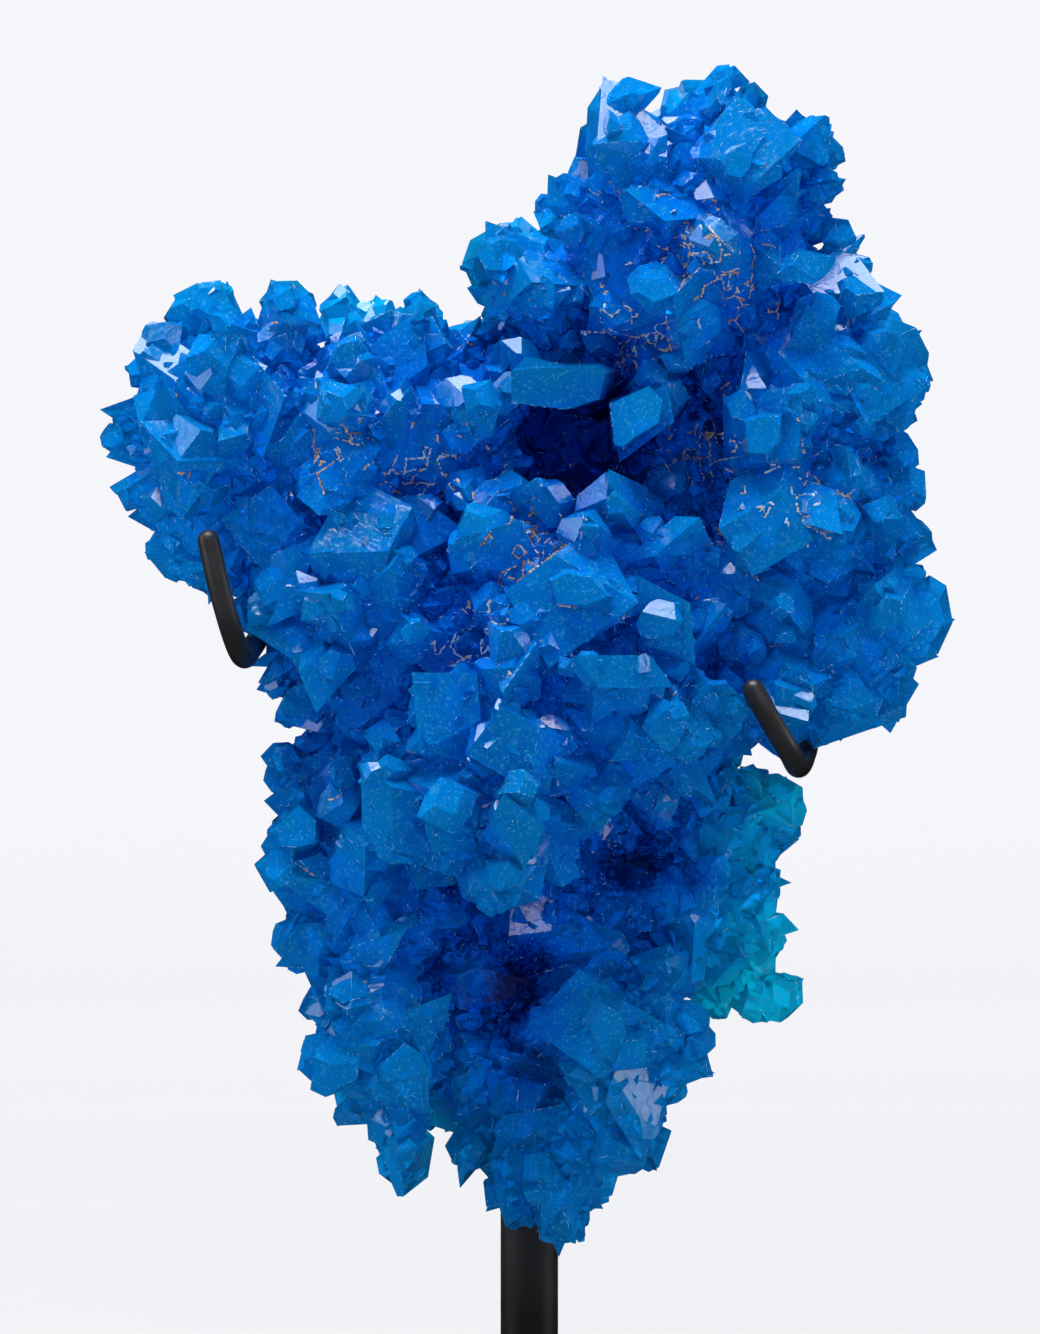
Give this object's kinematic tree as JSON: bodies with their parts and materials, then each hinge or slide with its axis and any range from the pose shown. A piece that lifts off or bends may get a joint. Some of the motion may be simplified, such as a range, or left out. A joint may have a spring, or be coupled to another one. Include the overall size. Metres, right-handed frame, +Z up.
{
  "type": "chalcanthite crystal specimen on a rod stand",
  "caption": "Cluster of intergrown blue triclinic crystals, held up by a hooked wire on a rod that stands in a square block.",
  "frame": {"origin": "centre of the block's underside, on the surface it stands on", "axes": "+Z up along the rod, the specimen's displayed side faces -Y, +X to the right as seen from the front"},
  "size_m": [0.116, 0.09, 0.212],
  "materials": {
    "chalcanthite": "glossy, clear to cloudy deep blue",
    "black_satin_paint": "satin"
  },
  "bodies": {
    "root": {"crystal_cluster": "chalcanthite", "prong_wire": "black_satin_paint", "rod": "black_satin_paint", "base": "black_satin_paint"}
  },
  "joints": []
}
